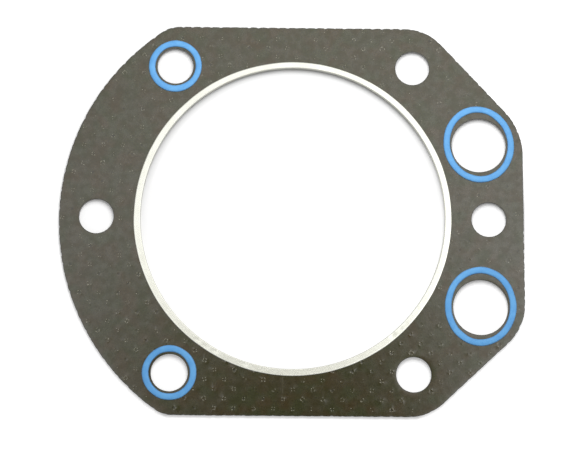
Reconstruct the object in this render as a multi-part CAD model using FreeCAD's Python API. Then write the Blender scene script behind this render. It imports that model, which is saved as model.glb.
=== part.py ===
import FreeCAD, Part
import math
import os

# Cylinder head gasket for one barrel of a flat-twin motorcycle engine.
# It lies flat, with the face that meets the cylinder head upwards and the face that meets
# the barrel downwards. The origin is on the bore axis, halfway through the sheet. X runs
# along the row of the two side studs. All sizes are in millimetres.

# Sheet: fibre and graphite facings, clinched for good to a tanged steel core.
sheet_thickness = 1.2

# Fire ring: a steel strip folded tight round the sheet at the bore.
cylinder_bore = 94.0
bore_margin = 1.5
ring_strip = 0.25
ring_flange = 2.2
ring_fit = 0.05

# Studs that clamp the head, all on one circle: one near each corner and one on each side.
# Oil rises round the two studs on the left, so their holes are wider.
stud_circle_past_bore = 15.55
stud_frame_drop = 0.55
corner_stud_angle = 52.2
stud_diameter = 10.0
stud_clearance = 0.55
oil_stud_clearance = 0.86

# Openings for the two pushrod tubes, placed from the centre of the stud circle.
tube_hole_diameter = 17.5
tube_row_inside_side_stud = 2.95
upper_tube_y = 24.15
lower_tube_y = -28.05

# Outline of the sheet, by how far its edges lie beyond the holes.
edge_past_corner_studs = 13.2
edge_past_side_stud = 11.85
edge_past_tube_row = 14.1
left_corner_radius = 10.0
chamfer_past_corner_studs = 4.55
chamfer_past_upper_tube = 5.3
chamfer_past_lower_tube = 6.2
chamfer_corner_radius = 15.8
upper_tube_corner_radius = 21.0
lower_tube_corner_radius = 17.4

# Beads of silicone rubber, printed on both faces round each hole that oil passes.
bead_width = 2.1
bead_height = 0.4
stud_bead_gap = 0.6
tube_bead_gap = 0.5
tube_bead_stretch = 1.2
tube_bead_shift = 0.35
upper_tube_bead_lean = 9.0
lower_tube_bead_lean = -2.5

head_face_z = sheet_thickness / 2
barrel_face_z = -sheet_thickness / 2

ring_inner_radius = cylinder_bore / 2 + bore_margin
ring_outer_radius = ring_inner_radius + ring_flange
ring_slot_radius = ring_inner_radius + ring_strip
sheet_bore_radius = ring_slot_radius + ring_fit

stud_circle_radius = cylinder_bore / 2 + stud_circle_past_bore
corner_stud_x = stud_circle_radius * math.cos(math.radians(corner_stud_angle))
corner_stud_y = stud_circle_radius * math.sin(math.radians(corner_stud_angle))
stud_hole_radius = stud_diameter / 2 + stud_clearance
oil_stud_hole_radius = stud_diameter / 2 + oil_stud_clearance

tube_x = stud_circle_radius - tube_row_inside_side_stud
tube_hole_radius = tube_hole_diameter / 2

sheet_half_height = corner_stud_y + edge_past_corner_studs
left_arc_radius = stud_circle_radius + edge_past_side_stud
right_edge_x = tube_x + edge_past_tube_row
chamfer_start_x = corner_stud_x + chamfer_past_corner_studs

up = FreeCAD.Vector(0, 0, 1)
origin = FreeCAD.Vector(0, 0, 0)


def from_stud_centre(x, y):
    """Point given from the centre of the stud circle, which lies just below the bore axis."""
    return FreeCAD.Vector(x, y - stud_frame_drop, 0)


upper_oil_stud = from_stud_centre(-corner_stud_x, corner_stud_y)
lower_oil_stud = from_stud_centre(-corner_stud_x, -corner_stud_y)
upper_tube = from_stud_centre(tube_x, upper_tube_y)
lower_tube = from_stud_centre(tube_x, lower_tube_y)

sheet_holes = [
    (origin, sheet_bore_radius),
    (upper_oil_stud, oil_stud_hole_radius),
    (lower_oil_stud, oil_stud_hole_radius),
    (from_stud_centre(corner_stud_x, corner_stud_y), stud_hole_radius),
    (from_stud_centre(corner_stud_x, -corner_stud_y), stud_hole_radius),
    (from_stud_centre(-stud_circle_radius, 0), stud_hole_radius),
    (from_stud_centre(stud_circle_radius, 0), stud_hole_radius),
    (upper_tube, tube_hole_radius),
    (lower_tube, tube_hole_radius),
]


def sheet_blank():
    """Sheet before its holes: one big arc on the left, two chamfered corners on the right."""
    upper_chamfer_y = upper_tube_y + chamfer_past_upper_tube
    lower_chamfer_y = lower_tube_y - chamfer_past_lower_tube
    left_ends = [
        from_stud_centre(-left_arc_radius, sheet_half_height),
        from_stud_centre(-left_arc_radius, -sheet_half_height),
    ]
    right_corners = [
        (from_stud_centre(chamfer_start_x, -sheet_half_height), chamfer_corner_radius),
        (from_stud_centre(right_edge_x, lower_chamfer_y), lower_tube_corner_radius),
        (from_stud_centre(right_edge_x, upper_chamfer_y), upper_tube_corner_radius),
        (from_stud_centre(chamfer_start_x, sheet_half_height), chamfer_corner_radius),
    ]
    points = left_ends + [point for point, radius in right_corners]
    blank = Part.Face(Part.makePolygon(points + points[:1])).extrude(up * sheet_thickness)
    for point, radius in right_corners:
        corner = min(upright_edges(blank), key=lambda edge: math.dist(edge.CenterOfMass[:2], point[:2]))
        blank = blank.makeFillet(radius, [corner])

    # The left side is the rim of a disc, which the right half reaches out of.
    disc = Part.makeCylinder(left_arc_radius, sheet_thickness, from_stud_centre(0, 0))
    reach = 2 * left_arc_radius
    right_half = Part.makeBox(reach, reach, sheet_thickness, from_stud_centre(0, -left_arc_radius))
    blank = blank.common(disc.fuse(right_half)).removeSplitter()
    left_corners = [edge for edge in upright_edges(blank) if edge.CenterOfMass.x < 0]
    return blank.makeFillet(left_corner_radius, left_corners)


def upright_edges(plate):
    """Edges that run through the thickness of a plate."""
    return [edge for edge in plate.Edges if edge.BoundBox.ZLength > sheet_thickness / 2]


def gasket_sheet():
    """Sheet with its holes, halfway above and halfway below the origin."""
    sheet = sheet_blank()
    for centre, radius in sheet_holes:
        sheet = sheet.cut(Part.makeCylinder(radius, sheet_thickness, centre))
    sheet.translate(up * barrel_face_z)
    return sheet


def washer(outer_radius, inner_radius, height):
    """Plain ring about the bore axis, halfway above and halfway below the origin."""
    base = up * (-height / 2)
    disc = Part.makeCylinder(outer_radius, height, base)
    return disc.cut(Part.makeCylinder(inner_radius, height, base))


def fire_ring():
    """Strip folded to a U that opens outwards, with a flange flat on each face of the sheet.

    The flat across each fold touches the round fold of a strip bent hard on itself, and
    stays within a tenth of the strip's thickness of it.
    """
    folded = washer(ring_outer_radius, ring_inner_radius, sheet_thickness + 2 * ring_strip)
    folds = [edge for edge in folded.Edges if has_radius(edge, ring_inner_radius)]
    folded = folded.makeChamfer(ring_strip * (2 - math.sqrt(2)), folds)
    return folded.cut(washer(2 * ring_outer_radius, ring_slot_radius, sheet_thickness))


def has_radius(edge, radius):
    return isinstance(edge.Curve, Part.Circle) and math.isclose(edge.Curve.Radius, radius)


def bead_section(inner_radius, side):
    """Domed section of a bead, across its width in the XZ plane."""
    half_width = bead_width / 2
    dome = []
    for degrees in (0, 45, 90, 135, 180):
        turn = math.radians(degrees)
        x = inner_radius + half_width - half_width * math.cos(turn)
        dome.append(FreeCAD.Vector(x, 0, side * bead_height * math.sin(turn)))
    return Part.Face(Part.makePolygon(dome + dome[:1]))


def bead(hole_centre, inner_radius, face_z, side, stretch=0.0, lean=0.0):
    """Bead round a hole: two half circles, drawn apart along Y by stretch to each side.

    side is 1 on the head face and -1 on the barrel face. lean turns the bead about Z, in
    degrees.
    """
    section = bead_section(inner_radius, side)
    if stretch == 0:
        rubber = section.revolve(origin, up, 360)
    else:
        drawn = FreeCAD.Vector(0, stretch, 0)
        straight = section.translated(drawn * -1).extrude(drawn * 2)
        half = section.revolve(origin, up, 180).translated(drawn).fuse(straight)
        rubber = half.fuse(half.rotated(origin, up, 180)).removeSplitter()
    rubber.rotate(origin, up, lean)
    rubber.translate(hole_centre + up * face_z)
    return rubber


def beads_on(face_name, face_z, side):
    """The four beads of one face, by node name."""
    stud_bead_radius = oil_stud_hole_radius + stud_bead_gap
    tube_bead_radius = tube_hole_radius + tube_bead_gap
    shift = FreeCAD.Vector(0, tube_bead_shift, 0)
    beads = {
        "upper_stud": bead(upper_oil_stud, stud_bead_radius, face_z, side),
        "lower_stud": bead(lower_oil_stud, stud_bead_radius, face_z, side),
        "upper_tube": bead(
            upper_tube + shift, tube_bead_radius, face_z, side, tube_bead_stretch, upper_tube_bead_lean
        ),
        "lower_tube": bead(
            lower_tube + shift, tube_bead_radius, face_z, side, tube_bead_stretch, lower_tube_bead_lean
        ),
    }
    return {face_name + "_bead_" + place: rubber for place, rubber in beads.items()}


def main():
    nodes = {"gasket_sheet": gasket_sheet(), "fire_ring": fire_ring()}
    nodes.update(beads_on("head", head_face_z, 1))
    nodes.update(beads_on("barrel", barrel_face_z, -1))

    os.makedirs("parts", exist_ok=True)
    for name, shape in nodes.items():
        shape.exportStep("parts/" + name + ".step")


main()
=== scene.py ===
import math

import bmesh
import bpy
import numpy as np
from bpy.props import FloatProperty, FloatVectorProperty, IntProperty, PointerProperty
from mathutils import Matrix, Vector, geometry


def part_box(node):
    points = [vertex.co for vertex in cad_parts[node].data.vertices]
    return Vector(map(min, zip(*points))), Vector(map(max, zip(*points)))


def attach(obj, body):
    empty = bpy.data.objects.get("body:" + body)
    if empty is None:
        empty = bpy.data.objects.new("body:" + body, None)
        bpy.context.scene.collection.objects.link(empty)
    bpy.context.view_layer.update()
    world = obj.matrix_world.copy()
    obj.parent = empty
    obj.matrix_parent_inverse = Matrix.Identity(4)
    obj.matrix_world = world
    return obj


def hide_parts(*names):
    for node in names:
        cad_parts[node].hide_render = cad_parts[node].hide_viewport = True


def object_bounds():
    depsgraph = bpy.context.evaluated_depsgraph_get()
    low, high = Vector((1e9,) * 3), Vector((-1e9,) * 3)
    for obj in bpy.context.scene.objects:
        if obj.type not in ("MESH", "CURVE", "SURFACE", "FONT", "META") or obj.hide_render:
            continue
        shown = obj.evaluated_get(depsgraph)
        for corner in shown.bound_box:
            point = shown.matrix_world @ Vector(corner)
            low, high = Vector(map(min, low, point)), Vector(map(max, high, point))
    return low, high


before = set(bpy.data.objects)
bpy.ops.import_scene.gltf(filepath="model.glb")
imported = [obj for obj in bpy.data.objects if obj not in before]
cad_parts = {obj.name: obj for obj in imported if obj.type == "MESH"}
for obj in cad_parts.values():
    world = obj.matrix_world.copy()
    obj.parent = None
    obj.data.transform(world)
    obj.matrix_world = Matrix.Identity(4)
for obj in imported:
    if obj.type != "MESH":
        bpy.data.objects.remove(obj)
cad_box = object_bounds()

bl_info = {
    "name": "Cylinder head gasket",
    "version": (1, 0, 0),
    "blender": (4, 5, 0),
    "location": "View3D > Sidebar > Gasket",
    "description": "Gives a cylinder head gasket its finished surfaces, on a pale stage",
    "category": "Object",
}

# Meshes are worked out in millimetres, as the gasket was drawn, and become metres at the end.
MM = 0.001

BODY = "root"
SHEET_NODE = "gasket_sheet"
RING_NODE = "fire_ring"
BEAD_NODES = [name for name in sorted(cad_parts) if "_bead_" in name]


# Settings that a user would change, through short forms of Blender's properties

def Colour(name, description, default):
    return FloatVectorProperty(
        name=name, description=description, subtype="COLOR", size=3, min=0, max=1,
        default=default)


def Share(name, description, default):
    return FloatProperty(
        name=name, description=description, subtype="FACTOR", min=0, max=1, default=default)


def Length(name, description, default_mm, least_mm=0):
    """A length, with its default and least value in millimetres."""
    return FloatProperty(
        name=name, description=description, unit="LENGTH", min=least_mm * MM,
        default=default_mm * MM)


def Angle(name, description, default_degrees):
    """An angle, with its default in degrees."""
    return FloatProperty(
        name=name, description=description, subtype="ANGLE",
        default=math.radians(default_degrees))


class SheetSettings(bpy.types.PropertyGroup):
    facing_colour: Colour(
        "Facing colour", "Colour of the fibre and graphite facings", (0.0395, 0.0340, 0.0095))
    facing_roughness: Share("Facing roughness", "How matt the facings are", 0.13)
    core_thickness: Length(
        "Core thickness", "Thickness of the steel core seen on the cut edges", 0.25)
    cut_raggedness: Length(
        "Cut raggedness", "How far the die-cut outline strays from a clean line", 0.07)
    edge_roll: Length("Edge roll", "How far the die rolled the edges of the facings inwards", 0.06)
    tang_pitch_x: Length("Tang pitch along X", "Distance between tangs of one row", 6.17, 1)
    tang_pitch_y: Length(
        "Tang pitch along Y", "Distance between every second row of tangs", 5.96, 1)
    mark_width: Length("Mark width", "Width of the mark that each tang left in the facing", 1.55)
    mark_height: Length(
        "Mark height", "Height of the lip that each tang raised in the facing", 0.012)
    seed: IntProperty(
        name="Seed", description="Seed of the random chips, dimples and tang tips", default=7)


class RingSettings(bpy.types.PropertyGroup):
    steel_colour: Colour(
        "Steel colour", "Colour of the fire ring's steel strip", (0.94, 0.945, 0.86))
    steel_roughness: Share("Steel roughness", "How dull the rolled steel is", 0.255)
    strip_thickness: Length("Strip thickness", "Thickness of the steel strip", 0.25)
    fold_radius: Length("Fold radius", "Outer radius of the two folds at the bore", 0.29)
    dent_depth: Length(
        "Dent depth", "Depth of the dents that handling left in the head flange", 0.06)
    seed: IntProperty(
        name="Seed", description="Seed of the ring's random waviness", default=21)


class BeadSettings(bpy.types.PropertyGroup):
    silicone_colour: Colour("Silicone colour", "Colour of the printed beads", (0.138, 0.42, 0.80))
    silicone_roughness: Share("Silicone roughness", "How matt the silicone is", 0.38)
    bead_width: Length("Bead width", "Width of the printed bead", 2.1)
    upper_tube_lean: Angle(
        "Upper tube bead lean", "Turn of the oval bead round the upper tube hole", 9.5)
    lower_tube_lean: Angle(
        "Lower tube bead lean", "Turn of the oval bead round the lower tube hole", -3.0)
    tube_bead_ovalness: Length(
        "Oval by", "How much longer than wide the tube beads are, to each side", 1.2)
    seed: IntProperty(
        name="Seed", description="Seed of the beads' random unevenness", default=35)


class StageSettings(bpy.types.PropertyGroup):
    key_power: FloatProperty(
        name="Key light", description="Power of the soft light above the far edge",
        unit="POWER", min=0, default=0.61)
    key_distance: Length(
        "Key distance", "How far the soft light stands from the bore axis", 250, 100)
    key_width: Length(
        "Key width", "Width of the soft light, which sets how soft the shadows are", 200, 10)
    key_heading: Angle("Key heading", "Where the soft light stands, turned from the X axis", 76)
    key_height: Angle(
        "Key height", "How high the soft light stands, as an angle above the floor", 63)
    room_light: FloatProperty(
        name="Room light", description="Brightness of the even light from all round",
        min=0, default=0.3)
    room_gloss: FloatProperty(
        name="Room in reflections",
        description="Brightness of the room as glossy surfaces mirror it", min=0, default=1.60)
    overhead_dark: Share("Overhead", "Brightness straight overhead, as a share of the room's", 0.07)
    window_gain: Share(
        "Window gain", "How much brighter the room is on the right than on the left", 0.44)


class GasketSettings(bpy.types.PropertyGroup):
    sheet: PointerProperty(type=SheetSettings)
    ring: PointerProperty(type=RingSettings)
    beads: PointerProperty(type=BeadSettings)
    stage: PointerProperty(type=StageSettings)


# Shader building

class Value:
    """One socket in a material. Sums on it add the Math nodes that work them out."""

    def __init__(self, shader, socket):
        self.shader = shader
        self.socket = socket

    def math(self, operation, *others):
        """A Math node on this value, then the others."""
        sockets = dict(enumerate((self,) + others))
        return self.shader.add("Math", {"operation": operation}, sockets)[0]

    def __add__(self, other):
        return self.math("ADD", other)

    def __sub__(self, other):
        return self.math("SUBTRACT", other)

    def __mul__(self, other):
        return self.math("MULTIPLY", other)

    def __rsub__(self, other):
        sockets = {0: other, 1: self}
        return self.shader.add("Math", {"operation": "SUBTRACT"}, sockets)[0]

    def __lt__(self, other):
        return self.math("LESS_THAN", other)

    def __gt__(self, other):
        return self.math("GREATER_THAN", other)

    def __or__(self, other):
        """Either of two masks."""
        return self.math("MAXIMUM", other)

    def __abs__(self):
        return self.math("ABSOLUTE")

    __radd__ = __add__
    __rmul__ = __mul__
    __ror__ = __or__


def distance(x, y):
    """How far a place at x and y lies from the Z axis."""
    return (x * x + y * y).math("SQRT")


class Shader:
    """The nodes of a new material, or of a new world, which all come from add()."""

    def __init__(self, owner):
        self.owner = owner
        self.owner.use_nodes = True
        self.tree = self.owner.node_tree
        self.tree.nodes.clear()

    def add(self, kind, settings=None, sockets=None):
        """Outputs, by name and number, of a new ShaderNode with settings and socket values."""
        node = self.tree.nodes.new("ShaderNode" + kind)
        for name, value in (settings or {}).items():
            if name == "stops":
                set_stops(node.color_ramp, value)
            else:
                setattr(node, name, value)
        for name, value in (sockets or {}).items():
            if isinstance(value, Value):
                self.tree.links.new(value.socket, node.inputs[name])
            else:
                node.inputs[name].default_value = value
        outputs = {socket.name: Value(self, socket) for socket in node.outputs if socket.enabled}
        outputs.update(enumerate(list(outputs.values())))
        return outputs

    def place(self):
        """Position in metres, in the frame that all pieces share."""
        return self.add("TexCoord")["Object"]

    def split(self, vector):
        """The X, Y and Z of a vector, as values."""
        parts = self.add("SeparateXYZ", None, {0: vector})
        return parts["X"], parts["Y"], parts["Z"]

    def grain(self, place, size_mm, detail=2.0, roughness=0.5):
        """Noise from 0 to 1 whose grains are about size_mm across."""
        scale = 1 / (size_mm * MM)
        sockets = {"Vector": place, "Scale": scale, "Detail": detail, "Roughness": roughness}
        return self.add("TexNoise", None, sockets)["Fac"]

    def ramp(self, value, stops):
        """The value drawn along a ramp of (position, brightness or colour) stops."""
        return self.add("ValToRGB", {"stops": stops}, {0: value})["Color"]

    def between(self, value, low, high):
        """0 below low, 1 above high and even steps between. High may be the lower number."""
        sockets = {"Value": value, "From Min": low, "From Max": high}
        return self.add("MapRange", None, sockets)["Result"]

    def mix(self, share, first, second, blend="MIX"):
        """Two colours mixed, by the share of the second."""
        settings = {"data_type": "RGBA", "blend_type": blend}
        sockets = {0: share, 6: as_colour(first), 7: as_colour(second)}
        return self.add("Mix", settings, sockets)["Result"]

    def bump(self, height, depth_mm, under=None):
        """Normal of a surface whose height runs from 0 to 1 over depth_mm."""
        sockets = {"Height": height, "Distance": depth_mm * MM, "Strength": 1.0}
        if under is not None:
            sockets["Normal"] = under
        return self.add("Bump", None, sockets)["Normal"]

    def finish(self, surface, output="OutputMaterial"):
        """The material or world, with its surface linked to the output."""
        self.add(output, None, {"Surface": surface})
        return self.owner

    def principled(self, sockets):
        """The material, with a Principled BSDF as its surface."""
        return self.finish(self.add("BsdfPrincipled", None, sockets)["BSDF"])


def set_stops(ramp, stops):
    """Give a colour ramp its (position, brightness or colour) stops."""
    while len(ramp.elements) < len(stops):
        ramp.elements.new(1.0)
    for element, (position, colour) in zip(ramp.elements, stops):
        element.position = position
        element.color = as_colour(colour)


def as_colour(colour):
    """RGBA of a grey or an RGB colour. A value from the nodes stays as it is."""
    if isinstance(colour, Value):
        return colour
    if isinstance(colour, (int, float)):
        colour = (colour,) * 3
    return tuple(colour) + (1.0,)


def tinted(colour, shares):
    """A colour with each part multiplied by its share."""
    return tuple(part * share for part, share in zip(colour, shares))


# Mesh building

def make_piece(name, points_mm, faces, material, sharp_degrees=40):
    """New object that rides on the gasket, from points in millimetres."""
    mesh = bpy.data.meshes.new(name)
    mesh.from_pydata((np.asarray(points_mm) * MM).tolist(), [], faces)
    mesh.materials.append(material)
    mesh.shade_smooth()
    mesh.set_sharp_from_angle(angle=math.radians(sharp_degrees))
    piece = bpy.data.objects.new(name, mesh)
    bpy.context.collection.objects.link(piece)
    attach(piece, BODY)
    return piece


def even_turns(count):
    """Angles of count points at even steps round a circle."""
    return np.arange(count) / count * 2 * math.pi


def turned(x, y, angle):
    """A place, or many, turned about the Z axis."""
    return x * math.cos(angle) - y * math.sin(angle), x * math.sin(angle) + y * math.cos(angle)


def loop_noise(count, length_mm, grain_mm, draw):
    """Smooth noise from -1 to 1 at count points round a closed loop, with bumps of grain_mm."""
    cells = max(4, round(length_mm / grain_mm))
    heights = draw.uniform(-1, 1, cells)
    place = np.arange(count) / count * cells
    low = place.astype(int) % cells
    share = place % 1
    share = share * share * (3 - 2 * share)
    return heights[low] * (1 - share) + heights[(low + 1) % cells] * share


def loop_steps(loop):
    """Distance from each point of a closed loop to the next."""
    return np.linalg.norm(np.roll(loop, -1, axis=0) - loop, axis=1)


def even_points(loop, spacing, smoothings=3):
    """Points at an even spacing round a closed loop, with its facets rounded off."""
    closed = np.vstack([loop, loop[:1]])
    along = np.concatenate([[0], np.cumsum(loop_steps(loop))])
    count = round(along[-1] / spacing)
    at = np.arange(count) * along[-1] / count
    even = np.column_stack([np.interp(at, along, closed[:, axis]) for axis in (0, 1)])
    for _ in range(smoothings):
        even = (np.roll(even, 1, axis=0) + 2 * even + np.roll(even, -1, axis=0)) / 4
    return even


def outward(loop):
    """Unit vectors pointing out of a closed loop that runs anticlockwise."""
    along = np.roll(loop, -1, axis=0) - np.roll(loop, 1, axis=0)
    along /= np.linalg.norm(along, axis=1)[:, None]
    return np.column_stack([along[:, 1], -along[:, 0]])


def signed_area(loop):
    """Area within a closed loop, which is negative where the loop runs clockwise."""
    x, y = loop[:, 0], loop[:, 1]
    return 0.5 * np.sum(x * np.roll(y, -1) - y * np.roll(x, -1))


def flat_face_loops(node_name):
    """Closed loops of a CAD node's upper face, in millimetres: outline first, then holes.

    Each runs anticlockwise from its point farthest right, and holes of one size go from left
    to right, so that the random draws always fall on the same places.
    """
    nothing = 0.001 * MM
    solid = bmesh.new()
    solid.from_mesh(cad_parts[node_name].data)
    bmesh.ops.remove_doubles(solid, verts=solid.verts, dist=nothing)
    top = max(vertex.co.z for vertex in solid.verts) - nothing
    upper = [face for face in solid.faces if all(vertex.co.z > top for vertex in face.verts)]
    among_upper = set(upper)
    after = {}
    for face in upper:
        for corner in face.loops:
            if sum(other in among_upper for other in corner.edge.link_faces) == 1:
                after[corner.vert] = corner.link_loop_next.vert
    loops = []
    while after:
        first, vertex = after.popitem()
        points = [first.co]
        while vertex is not first:
            points.append(vertex.co)
            vertex = after.pop(vertex)
        loop = np.array([point[:2] for point in points]) / MM
        loop = loop if signed_area(loop) > 0 else loop[::-1]
        farthest_right = np.lexsort((loop[:, 1], loop[:, 0]))[-1]
        loops.append(np.roll(loop, -farthest_right, axis=0))
    solid.free()
    return sorted(loops, key=lambda loop: (-round(signed_area(loop), -1), *loop[0].round(1)))


def fill(rims, inner_points):
    """Triangles between an outline and its holes, through the inner points.

    The rims run anticlockwise, the outline first. Corners are numbered through the rims in
    order, then through the inner points.
    """
    flat = np.vstack(rims + [inner_points])
    rim_of = np.concatenate([np.full(len(rim), number) for number, rim in enumerate(rims)]
                            + [np.full(len(inner_points), -1)])
    edges, start = [], 0
    for rim in rims:
        edges += [(start + i, start + (i + 1) % len(rim)) for i in range(len(rim))]
        start += len(rim)
    whole_hull, nothing = 0, 1e-6
    result = geometry.delaunay_2d_cdt(
        [Vector(point) for point in flat], edges, [], whole_hull, nothing)
    sources = [origins[0] for origins in result[3]]
    corners = np.array([[sources[corner] for corner in triangle] for triangle in result[2]])

    # A triangle with all corners on one rim may lie in a hole, or outside the outline.
    rim = rim_of[corners[:, 0]]
    on_one_rim = (rim >= 0) & (rim == rim_of[corners[:, 1]]) & (rim == rim_of[corners[:, 2]])
    a, b, c = (flat[np.sort(corners, axis=1)[:, i]] for i in range(3))
    inside_rim = np.cross(b - a, c - a) > 0
    unwanted = on_one_rim & np.where(rim == 0, ~inside_rim, inside_rim)
    return corners[~unwanted]


def nearest(points, others):
    """For each point, the distance to the nearest of the others, and which one it is."""
    gaps = np.linalg.norm(points[:, None, :] - others[None, :, :], axis=2)
    return gaps.min(axis=1), gaps.argmin(axis=1)


def swept_faces(steps, size):
    """Quads of a closed section of size points, swept in steps round a closed path."""
    faces = []
    for i in range(steps):
        this, following = i * size, (i + 1) % steps * size
        for j in range(size):
            k = (j + 1) % size
            faces.append((this + j, this + k, following + k, following + j))
    return faces


# Composite sheet

# Spacing of the points along the outline and the edges of the holes.
OUTLINE_STEP_MM = 0.34
HOLE_STEP_MM = 0.5

# The die presses the facings down a little along each cut.
PRESSED_WIDTH_MM = 0.34
PRESSED_DEPTH_MM = 0.014

# How ragged the cut is at the holes, and at the steel core, as a share of the rest.
HOLE_RAGGEDNESS = 0.4
CORE_RAGGEDNESS = 0.3

# Where the die cut within this reach of a tang, a chip of facing came away.
CHIP_REACH_MM = 1.0
CHIP_DEPTH_MM = (0.08, 0.26)
CHIP_HALF_WIDTH_MM = (0.35, 0.7)

# Place of one tang, turn of the lattice and rows of tangs to each side.
LATTICE_ORIGIN_MM = (-2.42, 1.63)
LATTICE_TURN_DEGREES = -0.2
LATTICE_REACH = 30

# Marks grow stronger towards the sheet's lower edge: higher lips, which carry more painted
# highlight, and more tang tips.
STRONG_MARKS_Y_MM = -33
STRONG_MARKS_FADE_MM = 15
STRONG_MARKS_EXTRA = 0.4

# Short crease below the ring, with no tang mark near it.
CREASE_X_MM = -2.7
CREASE_Y_MM = (-56.4, -51.0)
CREASE_CLEARANCE_MM = 1.0
CREASE_HALF_WIDTH_MM = 0.12
CREASE_STEP_MM = 0.3
CREASE_HEIGHT_MM = 0.0065

# Points between the marks, a little uneven.
GRID_STEP_MM = 1.5
GRID_STRAY_MM = 0.25
GRID_UNEVENNESS_MM = 0.003
GRID_CLEARANCE_MM = 0.7

FACING_IOR = 1.674
GRAPHITE_COAT = 0.46
GRAPHITE_COAT_ROUGHNESS = 0.13
# Colour of the pits and pressed cut edges: painted shade, and along the cut edges partly the
# pressed facing's own darker tone.
PRESSED_AND_SHADED_COLOUR = 0.008
# Painted highlight on the raised lips of the tang marks.
LIP_HIGHLIGHT_COLOUR = (0.19, 0.18, 0.13)
CORE_COLOUR = (0.42, 0.41, 0.38)
CORE_ROUGHNESS = 0.42
CORE_METALLIC = 0.9


def on_crease(place):
    """Whether a place lies on the short crease below the ring."""
    low, high = CREASE_Y_MM
    return abs(place[0] - CREASE_X_MM) < CREASE_CLEARANCE_MM and low < place[1] < high


def tang_places(settings):
    """Centres of the tangs that point to the head and of those that point to the barrel."""
    half_x = settings.tang_pitch_x / MM / 2
    half_y = settings.tang_pitch_y / MM / 2
    turn = math.radians(LATTICE_TURN_DEGREES)
    sides = [], []
    for i in range(-LATTICE_REACH, LATTICE_REACH + 1):
        for j in range(-LATTICE_REACH, LATTICE_REACH + 1):
            mark = np.add(LATTICE_ORIGIN_MM, turned(i * half_x, j * half_y, turn))
            if not on_crease(mark):
                sides[(i + j) % 2].append(mark)
    return [np.array(side) for side in sides]


def inside(points, loop):
    """Which points lie within a closed loop."""
    x, y = points[:, 0][:, None], points[:, 1][:, None]
    start, end = loop, np.roll(loop, -1, axis=0)
    spans = (start[:, 1] > y) != (end[:, 1] > y)
    rise = np.where(end[:, 1] == start[:, 1], 1, end[:, 1] - start[:, 1])
    crossing = start[:, 0] + (y - start[:, 1]) / rise * (end[:, 0] - start[:, 0])
    return (spans & (x < crossing)).sum(axis=1) % 2 == 1


def on_sheet(points, rims, margin):
    """Which points lie on the sheet, at least margin from its outline and its holes."""
    kept = inside(points, rims[0])
    for hole in rims[1:]:
        kept &= ~inside(points, hole)
    gap, _ = nearest(points, np.vstack(rims))
    return kept & (gap > margin)


def ragged(rim, is_hole, settings, draw, marks):
    """How far each point of a rim strays outwards from the clean cut, in millimetres."""
    length = loop_steps(rim).sum()
    size = settings.cut_raggedness / MM * (HOLE_RAGGEDNESS if is_hole else 1)
    coarse = loop_noise(len(rim), length, 1.5, draw)
    fine = loop_noise(len(rim), length, 0.6, draw)
    stray = size * (0.6 * coarse + 0.4 * fine)
    if is_hole:
        return stray
    gap, at = nearest(marks, rim)
    for mark in np.flatnonzero(gap < CHIP_REACH_MM):
        from_chip = np.linalg.norm(rim - rim[at[mark]], axis=1)
        depth, half_width = draw.uniform(*CHIP_DEPTH_MM), draw.uniform(*CHIP_HALF_WIDTH_MM)
        stray -= depth * np.clip(1 - (from_chip / half_width) ** 2, 0, None)
    return stray


def cut_edge(rims, settings, draw, marks):
    """Rows of points down each cut edge, from the head face to the barrel face."""
    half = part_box(SHEET_NODE)[1].z / MM
    half_core = settings.core_thickness / MM / 2
    roll = settings.edge_roll / MM
    rolled_down = half - 1.2 * roll
    pressed_down = half - PRESSED_DEPTH_MM
    rows = []
    for number, rim in enumerate(rims):
        is_hole = number > 0
        out = outward(rim) * (-1 if is_hole else 1)
        upper = ragged(rim, is_hole, settings, draw, marks)
        core = CORE_RAGGEDNESS * upper
        lower = ragged(rim, is_hole, settings, draw, marks)
        rows.append([(rim + out * stray[:, None], z) for stray, z in (
            (upper - PRESSED_WIDTH_MM, half),
            (upper - roll, pressed_down),
            (upper, rolled_down),
            (core, half_core),
            (core, -half_core),
            (lower, -rolled_down),
            (lower - roll, -pressed_down),
            (lower - PRESSED_WIDTH_MM, -half),
        )])
    return rows


def mark_strength(mark):
    """How strong a mark is: 1 in most of the sheet, more in its lower part, where its lip shows
    more painted highlight.
    """
    strong = np.clip((STRONG_MARKS_Y_MM - mark[1]) / STRONG_MARKS_FADE_MM, 0, 1)
    return 1 + STRONG_MARKS_EXTRA * strong


def round_mark(mark, turns, radii, heights):
    """Points round the centre of a mark."""
    x = mark[0] + radii * np.cos(turns)
    y = mark[1] + radii * np.sin(turns)
    return np.column_stack([x, y, heights + np.zeros(len(turns))])


def craters(marks, width, lip_height, draw):
    """Points round each mark: level ground, the broken lip that was raised, the pit in it."""
    turns = even_turns(16)
    ground, crest, wall = 1.05, 0.84, 0.6
    points = []
    for mark in marks:
        # The lip stands in four lobes, and higher to one side.
        side, lobe = draw.uniform(0, 2 * math.pi, 2)
        lobes = np.clip(0.1 + 0.6 * np.cos(turns - side) + np.cos(4 * turns - lobe), 0, 1)
        lip = lip_height * mark_strength(mark) * (0.3 + draw.random() ** 2) * lobes
        radius = 0.5 * width * draw.uniform(0.8, 1.15)
        pit = lip_height * (0.15 + 0.95 * draw.random() ** 2)
        for share, height in ((ground, 0), (crest, lip), (wall, -0.5 * pit)):
            radii = share * radius * (1 + draw.uniform(-0.08, 0.08, len(turns)))
            points.append(round_mark(mark, turns, radii, height))
        points.append([[mark[0], mark[1], -pit]])
    return np.vstack(points)


def hollows(marks, width, depth, draw):
    """Points of the faint hollow in the facing behind each tang: its rim and its centre."""
    turns = even_turns(8)
    points = []
    for mark in marks:
        radii = 0.5 * width * (1 + draw.uniform(-0.16, 0.16, len(turns)))
        points.append(round_mark(mark, turns, radii, 0))
        points.append([[mark[0], mark[1], -depth * draw.uniform(0.3, 1.1)]])
    return np.vstack(points)


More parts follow.
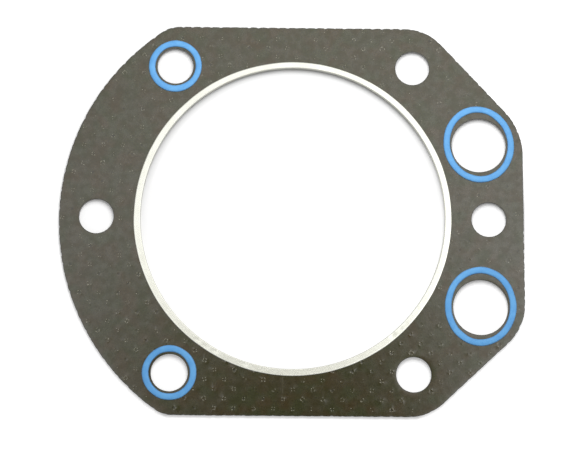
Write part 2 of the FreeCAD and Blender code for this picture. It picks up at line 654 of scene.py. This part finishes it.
def face_points(own_marks, other_marks, rims, settings, draw):
    """Points inside a face, with how far each lies above it, or below it if negative."""
    width, lip_height = settings.mark_width / MM, settings.mark_height / MM
    mark_clearance, grid_clearance = 0.62 * width, 0.75 * width
    own = own_marks[on_sheet(own_marks, rims, mark_clearance)]
    other = other_marks[on_sheet(other_marks, rims, mark_clearance)]
    pits = [craters(own, width, lip_height, draw), hollows(other, width, 0.2 * lip_height, draw)]

    low, high = rims[0].min(axis=0), rims[0].max(axis=0)
    columns, rows = ((high - low) / GRID_STEP_MM).astype(int)
    grid = np.array([
        (low[0] + (i + 0.5 * (j % 2)) * GRID_STEP_MM, low[1] + j * GRID_STEP_MM)
        for i in range(columns + 1) for j in range(rows + 1)
    ])
    grid += draw.uniform(-GRID_STRAY_MM, GRID_STRAY_MM, grid.shape)
    grid = grid[[not on_crease(place) for place in grid]]
    crease = np.array([
        (CREASE_X_MM + across, y) for across in (-CREASE_HALF_WIDTH_MM, 0, CREASE_HALF_WIDTH_MM)
        for y in np.arange(*CREASE_Y_MM, CREASE_STEP_MM)
    ])
    plain = np.vstack([grid, crease])
    plain = plain[on_sheet(plain, rims, GRID_CLEARANCE_MM)]
    away, _ = nearest(plain, np.vstack([own, other]))
    plain = plain[away > grid_clearance]
    heights = draw.uniform(-GRID_UNEVENNESS_MM, GRID_UNEVENNESS_MM, len(plain))
    in_line = abs(plain[:, 0] - CREASE_X_MM) < CREASE_HALF_WIDTH_MM / 12
    heights[in_line & [on_crease(place) for place in plain]] = CREASE_HEIGHT_MM
    return np.vstack(pits + [np.column_stack([plain, heights])])


def sheet_mesh(settings):
    """Points and faces of the whole sheet: cut edges, then its two faces."""
    draw = np.random.default_rng(settings.seed)
    outline, *holes = flat_face_loops(SHEET_NODE)
    rims = [even_points(outline, OUTLINE_STEP_MM)]
    rims += [even_points(hole, HOLE_STEP_MM) for hole in holes]
    head_marks, barrel_marks = tang_places(settings)
    edge_rows = cut_edge(rims, settings, draw, np.vstack([head_marks, barrel_marks]))

    points, faces, row_starts, count = [], [], [], 0
    for number, rows in enumerate(edge_rows):
        starts = []
        for flat, z in rows:
            starts.append(count)
            points.append(np.column_stack([flat, np.full(len(flat), z)]))
            count += len(flat)
        row_starts.append(starts)
        size = len(rims[number])
        for upper, lower in zip(starts, starts[1:]):
            for i in range(size):
                j = (i + 1) % size
                quad = (upper + i, lower + i, lower + j, upper + j)
                faces.append(quad if number == 0 else quad[::-1])

    for row, own, other, side in (
        (0, head_marks, barrel_marks, 1), (-1, barrel_marks, head_marks, -1),
    ):
        face_rims = [rows[row][0] for rows in edge_rows]
        inner = face_points(own, other, face_rims, settings, draw)
        numbers = np.concatenate(
            [np.arange(len(rim)) + starts[row] for rim, starts in zip(face_rims, row_starts)]
            + [np.arange(len(inner)) + count]
        )
        triangles = numbers[fill(face_rims, inner[:, :2])]
        faces += [tuple(corners[::side]) for corners in triangles.tolist()]
        z = edge_rows[0][row][1] + side * inner[:, 2]
        points.append(np.column_stack([inner[:, :2], z]))
        count += len(inner)
    return np.vstack(points), faces


def facing_material(settings):
    """Fibre and graphite facing: olive black, mottled, with a steel core on the cut edges."""
    shader = Shader(bpy.data.materials.new("composite_facing"))
    place = shader.place()
    height_z = abs(shader.split(place)[2])
    facing = settings.facing_colour
    brown = tinted(facing, (1.12, 0.92, 0.86))
    green = tinted(facing, (0.88, 1.06, 0.95))
    grey = tinted(facing, (0.98, 1.0, 1.35))

    clouds = shader.between(shader.grain(place, 5.0, 1.0), 0.38, 0.62)
    drift = shader.between(shader.grain(place, 8.0, 1.0), 0.40, 0.62)
    colour = shader.mix(clouds, green, brown)
    colour = shader.mix(drift * 0.6, colour, grey)
    fibres = shader.grain(place, 0.55, 4.0, 0.65)
    shade = shader.ramp(fibres, [(0.30, 0.78), (0.5, 1.0), (0.72, 1.25)])
    colour = shader.mix(1.0, colour, shade, "MULTIPLY")

    # Heights tell the pits and pressed edges (painted shade, partly darker pressed facing), the
    # lips of the marks (painted highlight), and the core.
    face_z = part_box(SHEET_NODE)[1].z
    # Painted shade in the pits of the marks and along the pressed cut edges, partly the pressed
    # facing's darker tone there.
    pressed = shader.between(height_z, face_z - 0.004 * MM, face_z - PRESSED_DEPTH_MM * MM)
    colour = shader.mix(pressed * 0.75, colour, PRESSED_AND_SHADED_COLOUR)
    # Painted highlight where the lips of the marks stand up.
    lip_highlight = shader.between(height_z, face_z + 0.004 * MM, face_z + 0.007 * MM)
    colour = shader.mix(lip_highlight, colour, LIP_HIGHLIGHT_COLOUR)
    core = height_z < settings.core_thickness / 2
    colour = shader.mix(core, colour, CORE_COLOUR)

    worn = shader.between(shader.grain(place, 1.6, 3.0), 0.2, 0.8)
    rough = worn * 0.08 + (settings.facing_roughness - 0.04)
    rough = rough * (1 - core) + core * CORE_ROUGHNESS
    smear = shader.between(shader.grain(place, 2.2, 3.0, 0.6), 0.38, 0.62)
    height = shader.grain(place, 0.42, 3.0, 0.6) * 0.6 + shader.grain(place, 1.7) * 0.4
    return shader.principled({
        "Base Color": colour, "Metallic": core * CORE_METALLIC, "Roughness": rough,
        "Normal": shader.bump(height, 0.007), "IOR": FACING_IOR,
        "Coat Weight": smear * GRAPHITE_COAT * (1 - core) * (1 - pressed),
        "Coat Roughness": GRAPHITE_COAT_ROUGHNESS,
    })


class GASKET_OT_sheet(bpy.types.Operator):
    """Make the sheet with its die-cut edges, and a dimple at each tang of its core"""
    bl_idname = "gasket.sheet"
    bl_label = "Composite sheet"

    def execute(self, context):
        settings = context.scene.gasket.sheet
        points, faces = sheet_mesh(settings)
        sheet = make_piece("sheet_with_dimples", points, faces, facing_material(settings))
        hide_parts(SHEET_NODE)
        return {"FINISHED"}


# Tang tips

# One petal of a tang, from the centre of its mark outwards: root, shoulders and tip.
PETAL_MM = np.array([(0.34, -0.16), (0.34, 0.16), (0.54, 0.14), (0.54, -0.14), (0.72, 0.0)])
PETAL_HEIGHTS_MM = np.array([-0.06, -0.06, 0.026, 0.026, 0.012])
PETAL_THICKNESS_MM = 0.06
FIRST_SHOULDER = 2

# Fewer petals came through towards the right edge of the sheet.
FEW_PETALS_X_MM = 52
FEW_PETALS_FADE_MM = 14
FEW_PETALS_SHARE = 0.15

# How far marks with petals stay from the ring, the cut edges and the beads.
RING_CLEARANCE_MM = 0.9
EDGE_CLEARANCE_MM = 0.95
BEAD_CLEARANCE_MM = 0.7
BEAD_BAND_MM = 3.8

FRESH_TANG_COLOUR = (0.42, 0.40, 0.32)
TARNISHED_TANG_COLOUR = (0.20, 0.19, 0.145)


def tang_tips(marks, face_z, side, draw):
    """Petals of steel that the punch bent through the facing, pressed flat round each mark."""
    under = len(PETAL_MM)
    points, faces = [], []
    for mark in marks:
        lattice_turn = math.radians(45) + draw.normal(0, 0.12)
        few = np.clip((FEW_PETALS_X_MM - mark[0]) / FEW_PETALS_FADE_MM, FEW_PETALS_SHARE, 1)
        strength = mark_strength(mark) * (0.1 + 0.9 * draw.random() ** 1.4) * few
        for quarter in range(4):
            if draw.random() > strength:
                continue
            petal = PETAL_MM * (draw.uniform(0.85, 1.1), draw.uniform(0.5, 1.2))
            petal[FIRST_SHOULDER:, 1] += draw.normal(0, 0.04)
            turn = lattice_turn + quarter * math.pi / 2 + draw.normal(0, 0.12)
            x, y = turned(petal[:, 0], petal[:, 1], turn)
            tilt = draw.normal(0, 0.12) * petal[:, 1]
            upper = PETAL_HEIGHTS_MM * draw.uniform(0.7, 1.2) + tilt
            upper[FIRST_SHOULDER:] += draw.uniform(0, 0.02)
            a, b, c, d, e = range(len(points), len(points) + under)
            for drop in (0, PETAL_THICKNESS_MM):
                z = face_z + side * (upper - drop)
                points += list(zip(mark[0] + x, mark[1] + y, z))
            rim = [a, b, c, e, d]
            solid = [(a, d, c, b), (d, e, c)]
            solid += [(a + under, b + under, c + under, d + under)]
            solid += [(d + under, c + under, e + under)]
            solid += [(p, q, q + under, p + under) for p, q in zip(rim, rim[1:] + rim[:1])]
            faces += [face[::side] for face in solid]
    return points, faces


def tang_material():
    """Dull steel of the tangs, with spots of tarnish."""
    shader = Shader(bpy.data.materials.new("tang_steel"))
    place = shader.place()
    tarnish = shader.between(shader.grain(place, 0.5), 0.35, 0.7)
    return shader.principled({
        "Base Color": shader.mix(tarnish, FRESH_TANG_COLOUR, TARNISHED_TANG_COLOUR),
        "Metallic": 1.0, "Roughness": tarnish * 0.15 + 0.4,
        "Normal": shader.bump(shader.grain(place, 0.3), 0.01),
    })


def clear_of_beads(marks):
    """Which marks no bead covers."""
    clear = np.ones(len(marks), bool)
    for name in BEAD_NODES:
        low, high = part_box(name)
        centre = np.array(((low + high) / 2)[:2]) / MM
        reach = (high.y - low.y) / MM / 2 + BEAD_CLEARANCE_MM
        away = np.linalg.norm(marks - centre, axis=1)
        clear &= (away > reach) | (away < reach - BEAD_BAND_MM)
    return clear


class GASKET_OT_tangs(bpy.types.Operator):
    """Make the tips of the core's tangs, which shine through the facings on both sides"""
    bl_idname = "gasket.tangs"
    bl_label = "Tang tips"

    def execute(self, context):
        settings = context.scene.gasket.sheet
        draw = np.random.default_rng(settings.seed + 1)
        rims = [even_points(loop, 1.0) for loop in flat_face_loops(SHEET_NODE)]
        face_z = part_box(SHEET_NODE)[1].z / MM
        ring_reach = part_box(RING_NODE)[1].x / MM + RING_CLEARANCE_MM
        material = tang_material()
        names = ("tang_tips_head", "tang_tips_barrel")
        for name, marks, side in zip(names, tang_places(settings), (1, -1)):
            marks = marks[on_sheet(marks, rims, EDGE_CLEARANCE_MM)]
            marks = marks[np.hypot(marks[:, 0], marks[:, 1]) > ring_reach]
            marks = marks[clear_of_beads(marks)]
            points, faces = tang_tips(marks, side * face_z, side, draw)
            tips = make_piece(name, points, faces, material)
        return {"FINISHED"}


# Fire ring

RING_STEPS = 420

# The flanges end this far short of the drawn edge, and more towards this heading.
FLANGE_SHORT_MM = 0.12
FLANGE_NARROWER_MM = 0.10
FLANGE_NARROW_DEGREES = 75

# Their rims are rolled down a little.
RIM_WIDTH_MM = 0.3
RIM_DROP_MM = 0.035
RIM_ROUNDING_MM = 0.04

# The fold keeps its width, and only the flange beyond it waves in and out.
FOLD_WIDTH_MM = 0.3

# Dents on the head flange: heading in degrees, radius and half width.
DENTS = [
    (155, 49.8, 0.5), (233.5, 49.3, 0.9), (237, 49.6, 0.6), (241, 49.2, 0.8),
    (253, 49.3, 0.7), (310, 49.3, 0.8), (314, 49.5, 0.5),
]

# Only the outside of the head flange lies this high.
HEAD_FLANGE_Z_MM = 0.7

SCUFF_COLOUR = (0.45, 0.44, 0.40)
# The fold is darkened: partly duller stretched steel, partly painted shade of the bore wall.
DULL_AND_SHADED_FOLD_COLOUR = (0.42, 0.42, 0.38)


def ring_radii():
    """Inner and outer radius of the fire ring, in millimetres."""
    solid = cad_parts[RING_NODE].data
    radii = [math.hypot(vertex.co.x, vertex.co.y) for vertex in solid.vertices]
    return min(radii) / MM, max(radii) / MM


def ring_profile(strip, fold_radius):
    """Closed section of the folded strip as radius and height, round the upper flange first."""
    inner, outer = ring_radii()
    outer -= FLANGE_SHORT_MM
    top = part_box(RING_NODE)[1].z / MM
    face = top - strip
    rim_top = top - RIM_DROP_MM
    upper = [(outer, face), (outer, rim_top - RIM_ROUNDING_MM),
             (outer - RIM_ROUNDING_MM, rim_top), (outer - RIM_WIDTH_MM, top)]
    fold_start = inner + fold_radius
    upper += [(radius, top) for radius in np.linspace(outer - 0.4, fold_start + 0.08, 5)]
    for degrees in np.linspace(90, 180, 8):
        turn = math.radians(degrees)
        drop = fold_radius * (1 - math.sin(turn))
        upper.append((fold_start + fold_radius * math.cos(turn), top - drop))
    lower = [(radius, -z) for radius, z in reversed(upper)]
    slot = [(inner + strip, -face), (inner + strip, face)]
    return np.array(upper + lower + slot)


def ring_mesh(settings):
    """The strip's section swept round the bore, a little wavy, with dents in its head flange."""
    draw = np.random.default_rng(settings.seed)
    profile = ring_profile(settings.strip_thickness / MM, settings.fold_radius / MM)
    inner, outer = ring_radii()
    length = 2 * math.pi * outer
    headings = even_turns(RING_STEPS)
    width_wave = 0.05 * loop_noise(RING_STEPS, length, 9.0, draw)
    width_wave += 0.02 * loop_noise(RING_STEPS, length, 2.5, draw)
    width_wave -= FLANGE_NARROWER_MM * np.cos(headings - math.radians(FLANGE_NARROW_DEGREES))
    height_wave = 0.010 * loop_noise(RING_STEPS, length, 14.0, draw)

    flange_start = inner + FOLD_WIDTH_MM
    share = np.clip((profile[:, 0] - flange_start) / (outer - flange_start), 0, 1)
    points = []
    for heading, wider, higher in zip(headings, width_wave, height_wave):
        radius = profile[:, 0] + wider * share
        z = profile[:, 1].copy()
        z[(share > 0) & (z > 0)] -= abs(higher)
        for dent_degrees, dent_radius, half_width in DENTS:
            across = (heading - math.radians(dent_degrees) + math.pi) % (2 * math.pi) - math.pi
            gap = np.hypot(across * dent_radius, profile[:, 0] - dent_radius) / half_width
            dent = settings.dent_depth / MM * np.clip(1 - gap ** 2, 0, None)
            z -= np.where(z > HEAD_FLANGE_Z_MM, dent, 0)
        x, y = radius * math.cos(heading), radius * math.sin(heading)
        points.append(np.column_stack([x, y, z]))
    return np.vstack(points), swept_faces(RING_STEPS, len(profile))


def ring_material(settings):
    """Rolled steel strip, with fine lines along the strip, faint tarnish and a fold darkened partly
    by painted shade.
    """
    shader = Shader(bpy.data.materials.new("rolled_steel"))
    place = shader.place()
    x, y, z = shader.split(place)
    radius = distance(x, y)
    squeezed_heading = y.math("ARCTAN2", x) * 0.004
    along_strip = shader.add("CombineXYZ", None, {0: radius, 1: squeezed_heading, 2: z})[0]
    lines = shader.grain(along_strip, 0.12, 3.0, 0.6)
    tarnish = shader.between(shader.grain(place, 6.0, 4.0, 0.6), 0.35, 0.65)
    scuffs = shader.between(shader.grain(place, 0.8, 3.0, 0.6), 0.66, 0.74)
    inner, outer = (side * MM for side in ring_radii())
    folded = shader.between(radius, inner + 0.25 * MM, inner + 0.04 * MM)
    inside_rim = shader.between(radius, outer - 0.35 * MM, outer - 0.6 * MM)

    steel = settings.steel_colour
    dull = tinted(steel, (0.84, 0.83, 0.80))
    colour = shader.mix(tarnish * 0.38, steel, dull)
    colour = shader.mix(1.0, colour, shader.ramp(lines, [(0.3, 0.98), (0.6, 1.0)]), "MULTIPLY")
    colour = shader.mix(scuffs * 0.3, colour, SCUFF_COLOUR)
    colour = shader.mix(inside_rim * 0.03, colour, 0.0)
    # Darker fold: duller stretched steel, and painted shade of the bore wall.
    colour = shader.mix(folded * 0.62, colour, DULL_AND_SHADED_FOLD_COLOUR)
    rough = shader.between(lines, 0.3, 0.7) * 0.06 + folded * 0.1
    rough = rough + (settings.steel_roughness - 0.03)
    normal = shader.bump(lines, 0.0004)
    normal = shader.bump(shader.grain(place, 2.5), 0.02, normal)
    return shader.principled({
        "Base Color": colour, "Metallic": 1.0, "Roughness": rough, "Normal": normal,
    })


class GASKET_OT_ring(bpy.types.Operator):
    """Make the fire ring: a steel strip folded round the sheet at the bore"""
    bl_idname = "gasket.fire_ring"
    bl_label = "Fire ring"

    def execute(self, context):
        settings = context.scene.gasket.ring
        points, faces = ring_mesh(settings)
        ring = make_piece("folded_ring", points, faces, ring_material(settings), 50)
        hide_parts(RING_NODE)
        return {"FINISHED"}


# Silicone beads

BEAD_STEPS = 360
DOME_POINTS = 15

# Crown of a bead's section: 1 is a half circle, and less is flatter.
CROWN_FLATNESS = 0.55

SILICONE_IOR = 1.57

# Colour where the bead runs out thin on the sheet: partly the thin silicone over the dark facing,
# partly painted shade on the dome's flanks.
THIN_AND_SHADED_SILICONE_COLOUR = (0.045, 0.10, 0.21)


def bead_path(name, settings):
    """Middle line of a bead and its lowest and highest point, in millimetres."""
    low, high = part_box(name)
    centre = np.array(((low + high) / 2)[:2]) / MM
    turns = even_turns(BEAD_STEPS)
    oval = settings.tube_bead_ovalness / MM if name.endswith("tube") else 0
    lean = settings.upper_tube_lean if "upper" in name else settings.lower_tube_lean
    radius = (high.x - low.x - settings.bead_width) / MM / 2
    if oval:
        radius = (high.y - low.y - settings.bead_width) / MM / 2 - oval
    x, y = radius * np.cos(turns), (radius + oval) * np.sin(turns)
    if oval:
        x, y = turned(x, y, lean)
    return centre + np.column_stack([x, y]), low.z / MM, high.z / MM


def bead_mesh(name, settings, draw):
    """Dome swept round a hole, as uneven as a printed bead is."""
    path, low, high = bead_path(name, settings)
    length = loop_steps(path).sum()
    out = outward(path)
    half_width = settings.bead_width / MM / 2
    side = 1 if low > 0 else -1
    face_z, crown_z = (low, high) if side > 0 else (high, low)
    width = half_width * (1 + 0.05 * loop_noise(BEAD_STEPS, length, 4.0, draw))
    wander = 0.05 * loop_noise(BEAD_STEPS, length, 6.0, draw)
    wander += 0.02 * loop_noise(BEAD_STEPS, length, 1.6, draw)
    height = 0.94 + 0.06 * loop_noise(BEAD_STEPS, length, 2.6, draw)
    height *= abs(crown_z - face_z)

    dome = np.linspace(0, math.pi, DOME_POINTS)
    points = []
    for i in range(BEAD_STEPS):
        across = wander[i] - width[i] * np.cos(dome)
        z = face_z + side * height[i] * np.clip(np.sin(dome), 0, 1) ** CROWN_FLATNESS
        place = path[i] + out[i] * across[:, None]
        points.append(np.column_stack([place, z]))
    quads = swept_faces(BEAD_STEPS, DOME_POINTS)
    faces = [(a, d, c, b) if side > 0 else (b, c, d, a) for a, b, c, d in quads]
    return np.vstack(points), faces


def silicone_material(settings):
    """Satin blue silicone, cloudy, with pale specks and a darker thin edge, partly painted shade.
    """
    shader = Shader(bpy.data.materials.new("printed_silicone"))
    place = shader.place()
    blue = settings.silicone_colour
    pale = tuple(part + 0.03 for part in tinted(blue, (1.2, 1.12, 1.06)))
    deep = tinted(blue, (0.75, 0.86, 0.93))
    clouds = shader.grain(place, 3.0, 3.0, 0.6)
    specks = shader.between(shader.grain(place, 0.35), 0.62, 0.75)
    face_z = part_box(SHEET_NODE)[1].z
    height_z = abs(shader.split(place)[2])
    # Darker edge: thin silicone over the facing, and painted shade on the dome's flanks.
    thin_and_shaded = shader.between(height_z, face_z + 0.34 * MM, face_z + 0.14 * MM)
    colour = shader.mix(shader.between(clouds, 0.38, 0.62), deep, blue)
    colour = shader.mix(specks * 0.35, colour, pale)
    colour = shader.mix(thin_and_shaded * 0.75, colour, THIN_AND_SHADED_SILICONE_COLOUR)
    rough = shader.between(clouds, 0.3, 0.7) * 0.12 + (settings.silicone_roughness - 0.06)
    height = shader.grain(place, 0.5, 3.0, 0.6) * 0.5 + shader.grain(place, 1.4) * 0.5
    return shader.principled({
        "Base Color": colour, "Roughness": rough, "Normal": shader.bump(height, 0.05),
        "IOR": SILICONE_IOR,
    })


class GASKET_OT_beads(bpy.types.Operator):
    """Make the silicone beads that are printed round the oil holes on both faces"""
    bl_idname = "gasket.beads"
    bl_label = "Silicone beads"

    def execute(self, context):
        settings = context.scene.gasket.beads
        draw = np.random.default_rng(settings.seed)
        material = silicone_material(settings)
        for name in BEAD_NODES:
            points, faces = bead_mesh(name, settings, draw)
            printed = make_piece(name.replace("_bead_", "_silicone_"), points, faces, material, 60)
            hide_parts(name)
        return {"FINISHED"}


# Stage

# Camera as fitted to the photograph.
CAMERA_PLACE_MM = (-4.965, -72.812, 449.243)
CAMERA_TURN_DEGREES = (8.858, -0.496, 0.477)
CAMERA_FOCUS_PX = 1426.2
IMAGE_WIDTH_PX = 575
SENSOR_WIDTH_MM = 36.0

PAPER_HALF_WIDTH = 1.5

# The paper is painted darker near the ring, on the lamp's side: a painted shadow of the ring in the
# bore. Ranges run from none to full.
PAPER_COLOUR = 0.92
SHADED_PAPER_COLOUR = 0.62
BORE_RADIUS = 48.7 * MM
SHADED_RADIUS_RANGE = (46.2 * MM, 48.3 * MM)
SHADED_Y_RANGE = (-10 * MM, 25 * MM)

# Glow that evens out the lamp's light on the paper, and just past the gasket's lower and outer
# edges a painted light that pales its shadow there.
NEAR_GLOW, NEAR_Y_RANGE = 0.24, (40 * MM, -45 * MM)
OUTSIDE_BORE_GLOW = 0.06
PAST_GLOW, PAST_RADIUS_RANGE = 0.25, (74.4 * MM, 75.3 * MM)
PAST_Y_RANGE = (-62.9 * MM, -64.1 * MM)
FAR_GLOW, FAR_RADIUS_RANGE = 0.5, (80 * MM, 300 * MM)
LEAST_GLOW = 0.02

# The room in reflections. Ranges run from none to full, over parts of a direction's vector.
OVERHEAD_ASIDE = 0.018
OVERHEAD_RANGE = (0.180, 0.065)
OVERHEAD_STRETCH, STRETCH_RANGE = 0.14, (-0.06, -0.14)
WARM_WHITE, WARM_RANGE = (1.0, 0.97, 0.82), (0.16, 0.05)
WINDOW_RANGE = (-0.25, 0.25)
VIEWER_SIDE_LIGHT, VIEWER_SIDE_RANGE = 0.35, (-0.45, -0.05)
FAR_SIDE_DIM, FAR_SIDE_RANGE = 0.23, (0.1, 0.3)
LOW_DIM, LOW_RANGE = 0.35, (0.4, 0.85)


def floor_material():
    """White paper that takes shadows, and that the camera and reflections see as white."""
    shader = Shader(bpy.data.materials.new("white_paper"))
    rays = shader.add("LightPath")
    seen = rays["Is Camera Ray"] | rays["Is Glossy Ray"] | rays["Is Transmission Ray"]
    x, y, _ = shader.split(shader.place())
    radius = distance(x, y)
    # Painted shadow of the ring on the paper inside the bore.
    shaded = (radius < BORE_RADIUS) * shader.between(radius, *SHADED_RADIUS_RANGE)
    shaded = shaded * shader.between(y, *SHADED_Y_RANGE)
    white = shader.mix(shaded, PAPER_COLOUR, SHADED_PAPER_COLOUR)
    paper = shader.add("BsdfDiffuse", None, {"Color": white})["BSDF"]

    # Painted light just past the gasket's edges, which pales its shadow on the paper.
    past_gasket = shader.between(y, *PAST_Y_RANGE) | shader.between(radius, *PAST_RADIUS_RANGE)
    glow = (
        shader.between(y, *NEAR_Y_RANGE) * NEAR_GLOW
        + (radius > BORE_RADIUS) * OUTSIDE_BORE_GLOW
        + past_gasket * PAST_GLOW
        + shader.between(radius, *FAR_RADIUS_RANGE) * FAR_GLOW
        + LEAST_GLOW
    )
    glowing = shader.add("Emission", None, {"Color": glow, "Strength": 1.0})["Emission"]
    bright = shader.add("AddShader", None, {0: paper, 1: glowing})["Shader"]
    surface = shader.add("MixShader", None, {0: seen, 1: paper, 2: bright})["Shader"]
    return shader.finish(surface)


def room(settings):
    """Even light from all round. Glossy surfaces mirror it as a pale room, dark overhead."""
    shader = Shader(bpy.data.worlds.new("room"))
    rays = shader.add("LightPath")
    seen = rays["Is Camera Ray"]
    glossy = rays["Is Glossy Ray"] | rays["Is Transmission Ray"]
    mirrored = glossy * (rays["Diffuse Depth"] < 0.5)
    sideways, forward, _ = shader.split(shader.add("TexCoord")["Generated"])
    off_zenith = distance(sideways - OVERHEAD_ASIDE, forward)
    stretch = 1 - shader.between(sideways, *STRETCH_RANGE) * OVERHEAD_STRETCH
    overhead = shader.between(off_zenith * stretch, *OVERHEAD_RANGE)
    window_side = shader.between(sideways, *WINDOW_RANGE) * settings.window_gain
    viewer_side = shader.between(forward, *VIEWER_SIDE_RANGE) * (1 - VIEWER_SIDE_LIGHT)
    far_side = shader.between(forward, *FAR_SIDE_RANGE) * FAR_SIDE_DIM
    low_down = shader.between(off_zenith, *LOW_RANGE) * LOW_DIM
    gloss = (
        (1 - overhead * (1 - settings.overhead_dark))
        * (window_side + (1 - settings.window_gain / 2))
        * (viewer_side + VIEWER_SIDE_LIGHT)
        * (1 - far_side)
        * (1 - low_down)
        * settings.room_gloss
    )
    strength = mirrored * gloss + (1 - mirrored) * settings.room_light * (1 - seen) + seen
    warm = shader.between(off_zenith, *WARM_RANGE) * mirrored
    colour = shader.mix(warm, 1.0, WARM_WHITE)
    surface = shader.add("Background", None, {"Color": colour, "Strength": strength})[0]
    return shader.finish(surface, "OutputWorld")


def sheet_of_paper():
    """The paper that the gasket lies on."""
    half, floor_z = PAPER_HALF_WIDTH, cad_box[0].z
    mesh = bpy.data.meshes.new("paper")
    corners = [(x * half, y * half, floor_z) for x, y in ((-1, -1), (1, -1), (1, 1), (-1, 1))]
    mesh.from_pydata(corners, [], [(0, 1, 2, 3)])
    mesh.materials.append(floor_material())
    return bpy.data.objects.new("paper", mesh)


def soft_light(settings):
    """The lamp above the far edge, aimed at the middle of the bore."""
    key = bpy.data.lights.new("soft_key", "AREA")
    key.shape = "SQUARE"
    key.size = settings.key_width
    key.energy = settings.key_power
    lamp = bpy.data.objects.new("soft_key", key)
    flat = math.cos(settings.key_height)
    towards = Vector((
        flat * math.cos(settings.key_heading), flat * math.sin(settings.key_heading),
        math.sin(settings.key_height),
    ))
    lamp.location = towards * settings.key_distance
    lamp.rotation_euler = towards.to_track_quat("Z", "Y").to_euler()
    lamp.visible_glossy = False
    lamp.visible_camera = False
    return lamp


def fitted_camera():
    """The camera, at the photograph's viewing angle."""
    lens = bpy.data.cameras.new("camera")
    lens.sensor_width = SENSOR_WIDTH_MM
    lens.lens = CAMERA_FOCUS_PX / IMAGE_WIDTH_PX * lens.sensor_width
    lens.clip_start = 0.01
    lens.clip_end = 20.0
    camera = bpy.data.objects.new("camera", lens)
    camera.location = Vector(CAMERA_PLACE_MM) * MM
    camera.rotation_euler = [math.radians(degrees) for degrees in CAMERA_TURN_DEGREES]
    return camera


class GASKET_OT_stage(bpy.types.Operator):
    """Lay the gasket on white paper under a soft light, and set the camera"""
    bl_idname = "gasket.stage"
    bl_label = "Stage"

    def execute(self, context):
        scene = context.scene
        settings = scene.gasket.stage
        paper, lamp, camera = sheet_of_paper(), soft_light(settings), fitted_camera()
        for each in (paper, lamp, camera):
            scene.collection.objects.link(each)
        scene.world = room(settings)
        scene.camera = camera
        scene.view_settings.view_transform = "Standard"
        return {"FINISHED"}


class GASKET_PT_panel(bpy.types.Panel):
    """The gasket's pieces and their settings"""
    bl_idname = "GASKET_PT_panel"
    bl_label = "Cylinder head gasket"
    bl_space_type = "VIEW_3D"
    bl_region_type = "UI"
    bl_category = "Gasket"

    def draw(self, context):
        groups = context.scene.gasket
        for group, *operators in (
            (groups.sheet, "gasket.sheet", "gasket.tangs"), (groups.ring, "gasket.fire_ring"),
            (groups.beads, "gasket.beads"), (groups.stage, "gasket.stage"),
        ):
            box = self.layout.box()
            for operator in operators:
                box.operator(operator)
            for name in group.__annotations__:
                box.prop(group, name)


CLASSES = (
    SheetSettings, RingSettings, BeadSettings, StageSettings, GasketSettings,
    GASKET_OT_sheet, GASKET_OT_tangs, GASKET_OT_ring, GASKET_OT_beads, GASKET_OT_stage,
    GASKET_PT_panel,
)


def register():
    for each in CLASSES:
        bpy.utils.register_class(each)
    bpy.types.Scene.gasket = PointerProperty(type=GasketSettings)


def unregister():
    del bpy.types.Scene.gasket
    for each in reversed(CLASSES):
        bpy.utils.unregister_class(each)


def main():
    register()
    bpy.ops.gasket.sheet()
    bpy.ops.gasket.tangs()
    bpy.ops.gasket.fire_ring()
    bpy.ops.gasket.beads()
    bpy.ops.gasket.stage()


if __name__ == "__main__":
    main()
